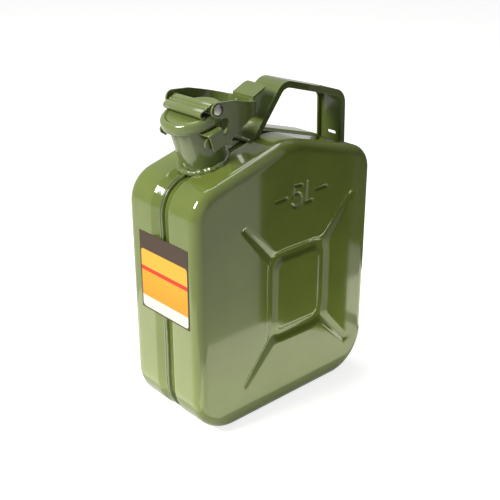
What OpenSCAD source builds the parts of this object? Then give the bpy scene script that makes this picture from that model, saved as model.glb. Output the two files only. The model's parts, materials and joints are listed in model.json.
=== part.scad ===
// Five litre pressed-steel fuel can with a cam-lever lid.
// X runs along the can (lid at -X, rear of the handle at +X), Y across its
// thickness, Z up. The origin is under the middle of the can, on the floor.

/* [Body] */
// Length of the can over its narrow faces
body_l = 235; // [215:1:260]
// Thickness of the can over its wide faces
body_t = 103; // [92:1:120]
// Height at which the lid end and the roof would meet if left sharp
eave_front_z = 251; // [244:1:258]
// Height at which the handle end and the roof would meet if left sharp
eave_rear_z = 251.5; // [244:1:258]
// Height of the roof ridge if left sharp
ridge_z = 284; // [278:1:290]
// Distance of the roof ridge behind the middle
ridge_x = 2.5; // [-6:0.5:10]
// Radius of the two bottom corners
bottom_r = 46; // [38:1:52]
// Radius of the top corner at the lid end
front_top_r = 34; // [28:1:40]
// Radius of the top corner at the handle end
rear_top_r = 28; // [24:1:34]
// Radius of the roof ridge
ridge_r = 60; // [45:1:90]
// Radius between the wide faces and the rim
edge_r = 11; // [8:0.5:14]
// Sheet thickness of the body
sheet = 1; // [0.7:0.1:1.4]

/* [Seam] */
// Depth of the channel that runs round the can at the seam
seam_depth = 4; // [2.5:0.5:6]
// Half width of the channel floor
seam_floor = 4.5; // [3.5:0.5:6]
// Width of each sloped side of the channel
seam_slope = 9; // [6:0.5:11]
// Thickness of the weld flange in the channel
flange_t = 5.2; // [3:0.2:6]
// Height of the weld flange above the channel floor
flange_h = 3; // [2:0.1:3.4]

/* [Pressed cross] */
// Distance of the cross behind the middle of the can
cross_x = 14; // [4:1:18]
// Height of the middle of the cross
cross_z = 125; // [120:1:130]
// Length of the raised panel inside the cross
panel_l = 56; // [48:1:60]
// Height of the raised panel inside the cross
panel_h = 71; // [64:1:78]
// Radius of the panel corners
panel_r = 8; // [6:0.5:12]
// Depth of the panel below the face of the can
panel_drop = 1; // [0.5:0.1:1.5]
// Width of the groove at the face of the can
groove_w = 16; // [14:0.5:18]
// Depth of the groove
groove_depth = 3.6; // [2:0.2:5]
// Depth of the groove at the tip of a leg
tip_depth = 1.2; // [0.8:0.1:2]
// Reach of the legs along the can, from the middle of the cross
leg_reach = 74; // [64:1:80]
// Reach of the legs up and down, from the middle of the cross
leg_rise = 86; // [76:1:90]
// Width of a leg where it leaves the groove
leg_root_w = 13.5; // [11:0.5:16]
// Width of a leg at its tip
leg_tip_w = 10; // [7:0.5:12]

/* [Neck] */
// Distance of the neck foot ahead of the middle of the can
neck_ahead = 64.5; // [60:0.5:70]
// Forward lean of the neck in degrees
neck_lean = 15.5; // [12:0.5:18]
// Outer radius of the neck at its foot
neck_foot_r = 22; // [20:0.5:24]
// Outer radius of the neck below the mouth
neck_top_r = 23.5; // [22:0.5:25]
// Sheet thickness of the neck
neck_sheet = 1.2; // [1:0.1:2]
// Height of the mouth above the foot of the neck
mouth_up = 45.4; // [43:0.2:48]
// Radius of the mouth, which is a straight bore
mouth_bore_r = 20.5; // [19:0.25:21.5]
// Radius of the rolled rim of the mouth
rim_r = 25.4; // [25:0.1:26]
// Outer radius of the breather tube
breather_r = 4; // [3:0.25:5]
// Length of the breather tube
breather_l = 45; // [35:1:60]

/* [Lid] */
// Outer radius of the lid
lid_r = 29.5; // [29:0.1:30]
// Height of the lid over its rolled edge
lid_h = 10.1; // [9.5:0.1:11]
// Sheet thickness of the lid
lid_sheet = 1.2; // [0.8:0.1:1.4]
// Thickness of the gasket
gasket_t = 2.4; // [2:0.1:2.8]
// Outer radius of the plate that clamps the gasket
clamp_r = 18.5; // [16:0.5:18.5]
// Distance of the lid hinge behind the neck axis
hinge_back = 34; // [33:0.25:36]
// Height of the lid hinge above the foot of the neck
hinge_up = 31; // [29:0.25:32]
// Radius of the hinge pin
hinge_pin_r = 2.5; // [2:0.1:3]
// Width of the hinge eye
eye_w = 20; // [16:0.5:22]

/* [Bridge and lever] */
// Distance of the lever pin behind the neck axis
pin_back = 5.7; // [5:0.1:7]
// Radius of the lever pin
pin_r = 3; // [2.5:0.1:3.2]
// Outer radius of the bridge roll round the lever pin
rear_roll_r = 4.5; // [4.2:0.1:5]
// Distance of the front roll of the bridge ahead of the neck axis
front_roll_ahead = 6.5; // [5:0.5:8]
// Outer radius of the front roll of the bridge
front_roll_r = 3.6; // [3:0.1:4]
// Width of the bridge
bridge_w = 53; // [48:0.5:56]
// Sheet thickness of the bridge
bridge_sheet = 1.3; // [1:0.1:1.5]
// Width of the lever over its two arms
lever_w = 66.6; // [66:0.2:70]
// Sheet thickness of the lever
lever_sheet = 2; // [1.6:0.1:2.4]
// Distance from the lever pin to the back of the lever
lever_l = 59; // [56:0.5:62]
// Outer radius of the bends at the back of the lever
lever_bend_r = 25; // [20:0.5:28]
// Width of the thumb tab
tab_w = 29; // [24:0.5:34]
// Length of the thumb tab beyond the lever
tab_l = 20; // [14:0.5:22]
// Rise of the thumb tab in degrees
tab_rise = 25; // [15:1:35]
// Sheet thickness of the thumb tab
tab_sheet = 1.8; // [1.4:0.1:2.2]

/* [Ears] */
// Length of each ear along the can
ear_l = 16; // [14:0.5:18]
// Slope of the ears in degrees, rising towards the handle
ear_slope = 19; // [17:0.5:20]
// Height of each ear
ear_h = 15; // [12:0.5:17]
// Sheet thickness of the ears
ear_sheet = 1.6; // [1.4:0.1:1.7]

/* [Handle] */
// Width of the handle
handle_w = 34; // [30:0.5:40]
// Sheet thickness of the handle
handle_sheet = 2; // [1.5:0.1:2.5]
// Depth of the flanges of the handle
handle_flange = 6.5; // [6:0.5:10]
// Radius of the outer corners of the handle
handle_r = 17; // [15:0.5:20]

// Distance of the front foot ahead of the middle of the can, as a place along X
handle_front_x = -19; // [-24:0.5:-16]
// Place along X of the knee where the front leg meets the top bar
handle_knee_x = 22; // [16:0.5:26]
// Height of that knee if left sharp
handle_top_z = 331; // [326:0.5:336]
// Fall of the top bar towards the rear in degrees
handle_fall = 16; // [12:0.5:18]
// Place along X of the rear leg
handle_rear_x = 112; // [104:0.5:114]
// Width of the slot in the rear leg
slot_w = 12; // [8:0.5:16]
// Height of the slot in the rear leg
slot_h = 3.4; // [2.5:0.1:4.5]

/* [Label] */
// Width of the label
label_w = 73; // [60:1:76]
// Height of the label
label_h = 81; // [70:1:90]
// Height of the lower edge of the label
label_z = 120.5; // [112:0.5:130]
// Distance of the middle of the label from the seam
label_off = -3.5; // [-4:0.5:4]
// Thickness of the label
label_t = 0.4; // [0.3:0.1:0.6]

/* [Hidden] */

$fn = 64;
// Overlap that makes a cut clean
cut = 1;
// Gap between curved faces that seat on each other
seat = 0.1;
// Radial running clearance of a pin
run = 0.06;
// Radial clearance of a pin that is held fast
held = 0.02;

green = [0.44, 0.50, 0.28];
dark_green = [0.33, 0.38, 0.2];

// ---- Outline of the body in the X-Z plane, counter-clockwise ----
half_l = body_l / 2;
half_t = body_t / 2;
OUTLINE = [
    [-half_l, 0], [half_l, 0], [half_l, eave_rear_z],
    [ridge_x, ridge_z], [-half_l, eave_front_z],
];
RADII = [bottom_r, bottom_r, rear_top_r, ridge_r, front_top_r];
function unit(v) = v / norm(v);
function wrap(i) = (i + len(OUTLINE)) % len(OUTLINE);
// Outward normal of an edge of a counter-clockwise outline
function outward(p, q) = [unit(q - p)[1], -unit(q - p)[0]];
// Angle through which the outline turns at q
function turn(p, q, s) = 180 - acos(unit(p - q) * unit(s - q));
function tangent_len(p, q, s, r) = r * tan(turn(p, q, s) / 2);
function arc_centre(p, q, s, r) =
    q + unit(unit(p - q) + unit(s - q)) * r / cos(turn(p, q, s) / 2);
// Points of a polygon whose corners are rounded, each arc in n steps
function rounded(pts, radii, n = 10) = [
    for (i = [0 : len(pts) - 1])
        let (
            m = len(pts), p = pts[(i + m - 1) % m], q = pts[i], s = pts[(i + 1) % m],
            c = arc_centre(p, q, s, radii[i]),
            a = q + unit(p - q) * tangent_len(p, q, s, radii[i]) - c,
            t = turn(p, q, s) * (cross(q - p, s - q) > 0 ? 1 : -1)
        )
        for (k = [0 : n])
            let (w = t * k / n)
            c + [a[0] * cos(w) - a[1] * sin(w), a[0] * sin(w) + a[1] * cos(w)]
];

// Height of the roof above x on either side of the ridge
front_slope = (ridge_z - eave_front_z) / (ridge_x + half_l);
rear_slope = (ridge_z - eave_rear_z) / (half_l - ridge_x);
function roof_z(x) = ridge_z - (x < ridge_x ? (ridge_x - x) * front_slope : (x - ridge_x) * rear_slope);

// Radius of the weld beads
weld_r = 2.2;
// Place on the rounded rear corner where the rear leg stands
rear_c = arc_centre(OUTLINE[1], OUTLINE[2], OUTLINE[3], rear_top_r);
REAR_SEAT = [
    handle_rear_x, rear_c[1] + sqrt(max(1, pow(rear_top_r, 2) - pow(handle_rear_x - rear_c[0], 2))),
];

// ---- Neck frame: u is the height along the neck axis ----
// Height of the foot of the neck above the roof
neck_foot_up = 1.8;
neck_z = roof_z(-neck_ahead) + neck_foot_up;
roll_w = 4.5;
dish_d = 1.4;
gasket_up = mouth_up + seat;
dish_under = gasket_up + gasket_t;
lid_top = dish_under + lid_sheet + dish_d;
lid_up = lid_top - lid_h;
pin_up = lid_top + rear_roll_r;
lever_pin = [
    -neck_ahead + pin_back * cos(neck_lean) - pin_up * sin(neck_lean),
    neck_z + pin_back * sin(neck_lean) + pin_up * cos(neck_lean),
];
arm_y = lever_w / 2;

// Places children in the frame of the neck
module at_neck() {
    translate([-neck_ahead, 0, neck_z]) rotate([0, -neck_lean, 0]) children();
}

// Turns a plan drawn in X and Z upright, its thickness centred on Y = 0
module upright(thick) {
    rotate([90, 0, 0]) linear_extrude(thick, center = true) children();
}

// ---- Body ----
// Angle of each step round the corners, and steps in the rounding of the wide faces
corner_step = 9;
edge_steps = 5;

// The outline moved inwards, its corners kept round about the same centres
function outline_at(inset) = [
    for (i = [0 : len(OUTLINE) - 1])
        let (
            p = OUTLINE[wrap(i - 1)], q = OUTLINE[i], s = OUTLINE[wrap(i + 1)],
            c = arc_centre(p, q, s, RADII[i]), n = outward(p, q), t = turn(p, q, s),
            steps = ceil(t / corner_step)
        )
        for (k = [0 : steps])
            let (w = t * k / steps)
            c + (RADII[i] - inset) * [n[0] * cos(w) - n[1] * sin(w), n[0] * sin(w) + n[1] * cos(w)]
];

// Solid through the outline at each [inset, height] of a list, from the lowest up
module loft(levels) {
    n = len(outline_at(0));
    last = len(levels) - 1;
    polyhedron(
        points = [for (v = levels) for (p = outline_at(v[0])) [p[0], p[1], v[1]]],
        faces = [
            [for (i = [0 : n - 1]) i],
            for (k = [0 : last - 1]) for (i = [0 : n - 1])
                [k * n + i, (k + 1) * n + i, (k + 1) * n + (i + 1) % n, k * n + (i + 1) % n],
            [for (i = [n - 1 : -1 : 0]) last * n + i],
        ]
    );
}

// One half of the body as a solid, lying on the seam plane, moved inwards by a wall
module pan(wall, foot) {
    top = half_t - wall;
    r = edge_r - wall;
    floor_end = seam_floor - wall / 2;
    loft([
        [seam_depth + wall, foot], [seam_depth + wall, floor_end], [wall, floor_end + seam_slope],
        for (k = [0 : edge_steps])
            let (w = 90 * k / edge_steps)
            [wall + r * (1 - cos(w)), top - r + r * sin(w)],
    ]);
}

// Slope of the sides of the pressed grooves: width over depth
groove_side = 1.5;

// A round pit whose side slopes; reach is its radius at the face of the can
module pit(reach, depth, grow, flare = 1) {
    low = reach + flare * (0.6 * grow - groove_side * depth);
    high = reach + flare * (0.6 * grow + groove_side * cut);
    translate([0, 0, -depth - grow]) cylinder(r1 = max(0.3, low), r2 = high, h = depth + grow + cut, $fn = 32);
}

// The pressed cross: a groove round the raised panel, and four legs that run out
module cross_groove(grow) {
    far_r = panel_r + groove_w;
    // Places of the corner centres of the panel
    at_x = panel_l / 2 - panel_r;
    at_z = panel_h / 2 - panel_r;
    difference() {
        hull() for (sx = [-1, 1], sz = [-1, 1])
            translate([sx * at_x, sz * at_z]) pit(far_r, groove_depth, grow);
        hull() for (sx = [-1, 1], sz = [-1, 1])
            translate([sx * at_x, sz * at_z, -panel_drop - grow - cut])
                pit(panel_r + groove_side * cut, groove_depth - panel_drop, grow, -1);
    }
    for (sx = [-1, 1], sz = [-1, 1])
        hull() {
            translate([sx * (at_x + far_r * 0.5), sz * (at_z + far_r * 0.5)]) pit(leg_root_w / 2, groove_depth, grow);
            translate([sx * leg_reach, sz * leg_rise]) pit(leg_tip_w / 2, tip_depth, grow);
        }
}

// One half of the body, standing on the seam plane
module half_shell() {
    difference() {
        rotate([90, 0, 0]) difference() {
            pan(0, 0);
            difference() {
                pan(sheet, -cut);
                translate([cross_x, cross_z, half_t]) cross_groove(sheet);
            }
            translate([cross_x, cross_z, half_t]) cross_groove(0);
        }
        at_neck() translate([0, 0, -30]) cylinder(r = neck_foot_r + seat, h = 50);
    }
}

module near_half_shell() {
    color(green) half_shell();
}

module far_half_shell() {
    color(green) mirror([0, 1, 0]) half_shell();
}

// Weld flange of the seam, which stands on the channel floor and stops at the neck
module seam_weld() {
    color(green) difference() {
        upright(flange_t) difference() {
            polygon(outline_at(seam_depth - flange_h));
            polygon(outline_at(seam_depth));
        }
        at_neck() translate([0, 0, -30]) cylinder(r = neck_foot_r + 2.5, h = 60);
    }
}

// ---- Neck ----
neck_in = 12;
collar_up = mouth_up - 4;
taper_up = collar_up - 6;

// Outside of the neck, grown by a gap, for trimming what sits on it
module neck_outside(grow) {
    rotate_extrude() polygon([
        [0, -neck_in], [neck_foot_r + grow, -neck_in], [neck_foot_r + grow, 0],
        [neck_top_r + grow, taper_up], [neck_top_r + grow, collar_up], [0, collar_up],
    ]);
}

module neck() {
    color(green) at_neck() rotate_extrude() polygon([
        [neck_foot_r - neck_sheet, -neck_in], [neck_foot_r, -neck_in], [neck_foot_r, 0],
        [neck_top_r, taper_up], [neck_top_r, collar_up], [mouth_bore_r, collar_up],
        [mouth_bore_r, 24], [neck_foot_r - neck_sheet, 20],
    ]);
}

// Bead round the foot of the neck
module neck_weld() {
    color(green) difference() {
        translate([-neck_ahead, 0, roof_z(-neck_ahead)]) rotate([0, -atan(front_slope), 0])
            rotate_extrude() translate([neck_foot_r + 0.5, 0.5]) circle(2.6, $fn = 24);
        at_neck() translate([0, 0, -30]) cylinder(r = neck_foot_r + seat, h = 60);
        roof_block();
    }
}

// Everything under the front slope of the roof, for trimming what stands on it
module roof_block() {
    translate([-neck_ahead, 0, roof_z(-neck_ahead)]) rotate([0, -atan(front_slope), 0])
        translate([-60, -60, -30]) cube([120, 120, 30]);
}

// Rolled rim that the gasket closes on
module mouth_rim() {
    color(green) at_neck() rotate_extrude() {
        difference() {
            translate([mouth_bore_r, collar_up]) square([rim_r - mouth_bore_r, mouth_up - collar_up]);
            translate([rim_r - 1.5, collar_up - cut]) square([cut + 1.5, 1.5 + cut]);
            translate([rim_r - 1.2, mouth_up - 1.2]) square(cut + 1.2);
        }
        translate([rim_r - 1.2, mouth_up - 1.2]) circle(1.2);
    }
}

// Air pipe that runs from the mouth down into the can, on the handle side of the neck
module breather_tube() {
    color("silver") at_neck()
        translate([mouth_bore_r - breather_r - seat, 0, 20 - breather_l]) difference() {
            cylinder(r = breather_r, h = breather_l);
            translate([0, 0, -cut]) cylinder(r = breather_r - 0.8, h = breather_l + 2 * cut);
        }
}

// ---- Lid ----
dish_r = lid_r - roll_w - 2;

module cap_shell() {
    side_r = lid_r - lid_sheet;
    color(green) at_neck() difference() {
        rotate_extrude() {
            square_ring(0, dish_r, dish_under, dish_under + lid_sheet);
            polygon([
                [dish_r - 0.2, dish_under], [dish_r + 0.2, dish_under],
                [lid_r - roll_w, lid_top - lid_sheet], [lid_r - roll_w + 0.5, lid_top - lid_sheet],
                [lid_r - roll_w + 0.5, lid_top], [lid_r - roll_w - 0.3, lid_top],
                [dish_r - 0.2, dish_under + lid_sheet],
            ]);
            translate([lid_r - roll_w, lid_top - roll_w]) intersection() {
                difference() {
                    circle(roll_w);
                    circle(roll_w - lid_sheet);
                }
                square(roll_w + cut);
            }
            square_ring(side_r, lid_r, lid_up, lid_top - roll_w);
            translate([side_r - 0.2, lid_up + 0.7]) circle(0.9, $fn = 24);
        }
        translate([0, 0, dish_under - cut]) cylinder(r = stud_r + held, h = 4);
    }
}

// Rectangle between two radii and two heights
module square_ring(r0, r1, z0, z1) {
    translate([r0, z0]) square([r1 - r0, z1 - z0]);
}

stud_r = 2.4;

// Thickness of the web of the gasket inside its sealing ring, of the plate and of the stud's head
web_t = 0.8;
plate_t = 0.7;
stud_head_t = 0.5;
plate_up = dish_under - web_t - plate_t;

// Sealing ring with a thin web that the plate clamps
module gasket() {
    ring_in = rim_r - 2.4;
    color([0.12, 0.12, 0.12]) at_neck() rotate_extrude() {
        square_ring(ring_in, rim_r + 0.6, gasket_up, dish_under);
        square_ring(stud_r + 0.5, ring_in + 0.2, dish_under - web_t, dish_under);
    }
}

module cap_plate() {
    color("silver") at_neck() rotate_extrude()
        square_ring(stud_r + held, clamp_r, plate_up, plate_up + plate_t);
}

// Stud that holds lid, gasket and plate to the bridge
module cap_stud() {
    color("silver") at_neck() rotate_extrude() {
        square_ring(0, stud_r, plate_up - stud_head_t, bridge_under);
        square_ring(0, stud_r + 2, plate_up - stud_head_t, plate_up);
    }
}

// ---- Bridge ----
front_roll_up = lid_top + front_roll_r;
// Top face of the bridge, from the front roll to the rear roll
BRIDGE_FRONT = [-front_roll_ahead, front_roll_up + front_roll_r];
BRIDGE_REAR = [pin_back, pin_up + rear_roll_r];
bridge_tilt = atan2(BRIDGE_REAR[1] - BRIDGE_FRONT[1], BRIDGE_REAR[0] - BRIDGE_FRONT[0]);
bridge_span = norm(BRIDGE_REAR - BRIDGE_FRONT);
crease_r = bridge_sheet * 0.75;
// How far the plate lies below the tops of its rolls
sink = 0.2;
// Height of the lowest face of the bridge over the middle of the lid
bridge_under = BRIDGE_FRONT[1] + front_roll_ahead * tan(bridge_tilt)
    - (bridge_sheet / 2 + sink + crease_r) / cos(bridge_tilt) - stud_r * tan(bridge_tilt);

module bridge() {
    color(green) at_neck() difference() {
        union() {
            upright(bridge_w) {
                translate([-front_roll_ahead, front_roll_up]) difference() {
                    circle(front_roll_r);
                    circle(front_roll_r - bridge_sheet);
                    rotate(-60) translate([0, -0.9]) square([front_roll_r + cut, 1.8]);
                }
                translate(BRIDGE_FRONT) rotate(bridge_tilt) {
                    translate([0, -bridge_sheet - sink]) square([bridge_span, bridge_sheet]);
                    for (k = [1, 2])
                        translate([bridge_span * k / 3, -bridge_sheet / 2 - sink]) circle(crease_r, $fn = 32);
                }
            }
            translate([pin_back, 0, pin_up]) rotate([90, 0, 0])
                cylinder(r = rear_roll_r, h = 2 * (arm_y - lever_sheet - 0.3), center = true);
        }
        translate([pin_back, 0, pin_up]) rotate([90, 0, 0])
            cylinder(r = pin_r + held, h = lever_w, center = true);
        cylinder(r = stud_r + seat, h = bridge_under);
    }
}

// ---- Lever pin ----
head_r = 4.7;
washer_t = 0.8;

module at_pin() {
    translate([lever_pin[0], 0, lever_pin[1]]) children();
}

module lever_pivot_pin() {
    reach = arm_y + washer_t + 0.2;
    color("silver") at_pin() rotate([90, 0, 0]) rotate_extrude() difference() {
        union() {
            square_ring(0, pin_r, -reach, reach);
            for (s = [-1, 1])
                translate([0, s * (reach - 3.2)]) intersection() {
                    circle(head_r + 0.6);
                    translate([0, s > 0 ? 3.2 : -3.2 - 6]) square([head_r, 6]);
                }
        }
        translate([-20, -50]) square([20, 100]);
    }
}

module pin_washer(side) {
    color("silver") at_pin() rotate([90, 0, 0])
        translate([0, 0, side * (arm_y + 0.1 + washer_t / 2)]) difference() {
            cylinder(r = head_r + 0.8, h = washer_t, center = true);
            cylinder(r = pin_r + held, h = 2 * washer_t, center = true);
        }
}

module pin_washer_near() {
    pin_washer(1);
}

module pin_washer_far() {
    pin_washer(-1);
}

// ---- Lever ----
boss_r = 7.3;
tongue_r = 4.8;
tongue_x = -10.4;
tongue_z = -28.6;
back_top = -3.6;
back_low = -16;

// Side view of the lever, from the pin: boss, back and tongue, each corner with its radius
module lever_side() {
    low = tongue_z - tongue_r;
    high = tongue_z + tongue_r;
    tip = tongue_x - tongue_r;
    corners = [
        [-boss_r, boss_r, boss_r], [19.6, 5.4, 8], [lever_l - 3, back_top, 4],
        [lever_l + 3, back_top, 0.5], [lever_l + 3, back_low, 0.5], [38, -15, 8],
        [19.5, -27, 6], [12, low, 5], [tip, low, tongue_r - 0.05],
        [tip, high, tongue_r - 0.05], [11.2, high, 3], [12.8, -9, 4], [-boss_r, -boss_r, boss_r - 0.1],
    ];
    polygon(rounded([for (c = corners) [c[0], c[1]]], [for (c = corners) c[2]], 12));
}

// Plan of the lever moved inwards: two arms and a round-cornered back, filled
module lever_plan(inset) {
    front = -30 - inset;
    side = arm_y - inset;
    r = lever_bend_r - inset;
    translate([0, 0, -50 - inset]) linear_extrude(100 + 2 * inset) polygon(rounded(
        [[front, -side], [lever_l - inset, -side], [lever_l - inset, side], [front, side]],
        [0.5, r, r, 0.5], 14
    ));
}

module lever() {
    color(green) at_pin() difference() {
        intersection() {
            upright(lever_w + 2) lever_side();
            lever_plan(0);
        }
        lever_plan(lever_sheet);
        rotate([90, 0, 0]) cylinder(r = pin_r + run, h = lever_w + 4, center = true);
        tab_rivet_places() translate([-5, 0, 0]) rotate([0, 90, 0]) cylinder(r = 2 + held, h = 10, $fn = 32);
    }
}

// ---- Thumb tab ----
tab_foot = 11;

module tab_rivet_places() {
    for (y = [-1, 1])
        translate([lever_l, y * tab_w * 0.24, back_top - 6]) children();
}

module thumb_tab() {
    tip = [lever_l + tab_l * cos(tab_rise), back_top + tab_l * sin(tab_rise)];
    over = tab_sheet / cos(tab_rise);
    color(green) at_pin() difference() {
        intersection() {
            upright(tab_w + 2) polygon([
                [lever_l, back_top - tab_foot], [lever_l + tab_sheet, back_top - tab_foot],
                [lever_l + tab_sheet, back_top + tab_sheet * tan(tab_rise)], tip,
                tip + tab_sheet * [-sin(tab_rise), cos(tab_rise)], [lever_l, back_top + over],
            ]);
            translate([0, 0, -50]) linear_extrude(100) polygon(rounded([
                [lever_l - 5, -tab_w / 2], [tip[0], -tab_w / 2], [tip[0], tab_w / 2], [lever_l - 5, tab_w / 2],
            ], [0.5, 5, 5, 0.5]));
        }
        tab_rivet_places() translate([-5, 0, 0]) rotate([0, 90, 0]) cylinder(r = 2 + held, h = 12, $fn = 32);
    }
}

module tab_rivets() {
    color("silver") at_pin() tab_rivet_places() rotate([0, 90, 0]) rotate_extrude($fn = 32) {
        square_ring(0, 2, -lever_sheet - 0.4, tab_sheet + 0.4);
        square_ring(0, 3.3, -lever_sheet - 1.6, -lever_sheet - 0.1);
        square_ring(0, 3.3, tab_sheet + 0.1, tab_sheet + 1.5);
    }
}

// ---- Ears ----
ear_gap = 1.5;
ear_out = arm_y + ear_gap + ear_sheet;
ear_front = [lever_pin[0] + tongue_x - 2, lever_pin[1] + tongue_z + tongue_r + 1.6];

// Cross section of an ear: a roof, a round bend, an outer wall and a curled foot
module ear_section() {
    r = 1.2;
    difference() {
        ear_fill(ear_out, ear_sheet, r + ear_sheet, ear_h);
        ear_fill(ear_out - ear_sheet, 0, r, ear_h + cut);
    }
}

module ear_fill(out, top, r, drop) {
    translate([neck_foot_r - 12, -drop]) square([out - r - neck_foot_r + 12, drop + top]);
    translate([neck_foot_r - 12, -drop]) square([out - neck_foot_r + 12, drop + top - r]);
    translate([out - r, top - r]) circle(r);
}

module ear() {
    color(green) difference() {
        translate([ear_front[0], 0, ear_front[1]]) rotate([0, -ear_slope, 0]) rotate([90, 0, 90])
            linear_extrude(ear_l) ear_section();
        at_neck() neck_outside(seat);
    }
}

module far_ear() {
    ear();
}

module near_ear() {
    mirror([0, 1, 0]) ear();
}

// Beads under the roofs of the ears, along the neck
module ear_welds() {
    bead_r = weld_r * 0.7;
    color(green) for (s = [-1, 1]) difference() {
        translate([ear_front[0], s * (neck_top_r + 0.3), ear_front[1] + ear_sheet])
            rotate([0, 90 - ear_slope, 0]) translate([0, 0, 5]) cylinder(r = bead_r, h = ear_l * 0.45, $fn = 24);
        at_neck() neck_outside(seat);
        translate([ear_front[0], 0, ear_front[1]]) rotate([0, -ear_slope, 0])
            translate([-20, -50, -10]) cube([ear_l + 40, 100, 10 + ear_sheet + 0.02]);
    }
}

// ---- Lid hinge ----
eye_r = hinge_pin_r + 1.8;
lug_t = 3;
lug_in = eye_w / 2 + 0.3;
lug_out = lug_in + lug_t;

module at_hinge() {
    translate([hinge_back, 0, hinge_up]) children();
}

module hinge_bracket() {
    lug_r = hinge_pin_r + 2.6;
    color(green) at_neck() difference() {
        union() {
            for (s = [-1, 1])
                translate([0, s * (lug_in + lug_t / 2), 0]) upright(lug_t) {
                    translate([hinge_back, hinge_up]) circle(lug_r);
                    polygon([
                        [12, hinge_up - 11], [12, hinge_up + 4], [hinge_back, hinge_up + lug_r],
                        [hinge_back + lug_r * 0.6, hinge_up - lug_r * 0.8],
                    ]);
                }
            intersection() {
                translate([12, -lug_in - 1, hinge_up - 10]) cube([40, 2 * lug_in + 2, 14]);
                cylinder(r = neck_top_r + 2.2, h = 60);
            }
        }
        neck_outside(seat);
        at_hinge() rotate([90, 0, 0]) cylinder(r = hinge_pin_r + held, h = 60, center = true);
    }
}

module cap_hinge_pin() {
    color("silver") at_neck() at_hinge() rotate([90, 0, 0]) {
        cylinder(r = hinge_pin_r, h = 2 * lug_out + 1, center = true);
        for (s = [-1, 1])
            translate([0, 0, s * (lug_out + 0.9)]) cylinder(r = hinge_pin_r + 1.2, h = 1.6, center = true);
    }
}

// Strap from the side of the lid down to the hinge eye
module cap_hinge_arm() {
    strap_x = hinge_back - eye_r;
    color(green) at_neck() difference() {
        union() {
            at_hinge() rotate([90, 0, 0]) cylinder(r = eye_r, h = eye_w, center = true);
            translate([strap_x, -eye_w / 2, hinge_up]) cube([2.2, eye_w, lid_up - hinge_up + 2]);
            translate([lid_r - 5, -eye_w / 2, lid_up]) cube([strap_x + 2.2 - lid_r + 5, eye_w, 5]);
        }
        translate([0, 0, lid_up - 5]) cylinder(r = lid_r + 0.02, h = 20, $fn = 96);
        at_hinge() rotate([90, 0, 0]) cylinder(r = hinge_pin_r + run, h = 60, center = true);
    }
}

// ---- Handle ----
// Outer face of the handle in side view: front foot, knee, rear corner, rear foot
FRONT_FOOT = [handle_front_x, roof_z(handle_front_x)];
REAR_FOOT = [handle_rear_x, roof_z(handle_rear_x)];
KNEE = [handle_knee_x, handle_top_z];
REAR_TOP = [handle_rear_x - 1.5, handle_top_z - (handle_rear_x - 1.5 - handle_knee_x) * tan(handle_fall)];
HANDLE = [
    FRONT_FOOT - unit(KNEE - FRONT_FOOT) * 20, KNEE, REAR_TOP,
    REAR_FOOT - unit(REAR_TOP - REAR_FOOT) * 20,
];

// Corner q moved inwards by d from both of its edges
function inset_corner(p, q, s, d) =
    q + (unit(p - q) + unit(s - q)) * d / abs(cross(unit(p - q), unit(s - q)));
// End of an edge moved by d to the right of its heading
function shifted(end, heading, d) = end + [heading[1], -heading[0]] * d;

// Area inside the handle's outer face, moved inwards by d
module handle_area(d) {
    polygon(rounded([
        shifted(HANDLE[0], unit(HANDLE[1] - HANDLE[0]), d),
        inset_corner(HANDLE[0], HANDLE[1], HANDLE[2], d),
        inset_corner(HANDLE[1], HANDLE[2], HANDLE[3], d),
        shifted(HANDLE[3], unit(HANDLE[3] - HANDLE[2]), d),
    ], [0.5, handle_r - d, handle_r - d, 0.5]));
}

// The body in side view without its seam channel, for trimming what stands on it
module body_area() {
    polygon(outline_at(0));
}

module handle() {
    color(green) difference() {
        union() {
            upright(handle_w) difference() {
                handle_area(0);
                handle_area(handle_sheet);
            }
            for (s = [-1, 1])
                translate([0, s * (handle_w - handle_sheet) / 2, 0]) upright(handle_sheet) difference() {
                    handle_area(0);
                    handle_area(handle_flange);
                }
        }
        upright(handle_w + 2) body_area();
        slot_z = roof_z(handle_rear_x) + 6;
        translate([handle_rear_x - 10, 0, slot_z]) rotate([0, 90, 0]) linear_extrude(20) {
            square([slot_h, slot_w - slot_h], center = true);
            for (s = [-1, 1])
                translate([0, s * (slot_w - slot_h) / 2]) circle(slot_h / 2, $fn = 32);
        }
    }
}

// Beads along the feet of the handle
module handle_welds() {
    color(green) difference() {
        for (foot = [FRONT_FOOT, REAR_SEAT])
            translate([foot[0], 0, foot[1]]) rotate([90, 0, 0])
                cylinder(r = weld_r, h = handle_w - 2, center = true, $fn = 24);
        upright(handle_w + 2) body_area();
        upright(handle_w + 2) handle_area(-0.02);
    }
}

// ---- Label ----
module label() {
    color([0.85, 0.6, 0.2])
        translate([-half_l - label_t, label_off - label_w / 2, label_z]) cube([label_t, label_w, label_h]);
}

near_half_shell();
far_half_shell();
seam_weld();
neck();
neck_weld();
mouth_rim();
breather_tube();
cap_shell();
gasket();
cap_plate();
cap_stud();
bridge();
lever_pivot_pin();
pin_washer_near();
pin_washer_far();
lever();
thumb_tab();
tab_rivets();
near_ear();
far_ear();
ear_welds();
hinge_bracket();
cap_hinge_arm();
cap_hinge_pin();
handle();
handle_welds();
label();
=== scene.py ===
import json
import math

import bmesh
import bpy
from mathutils import Matrix, Vector, noise

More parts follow.
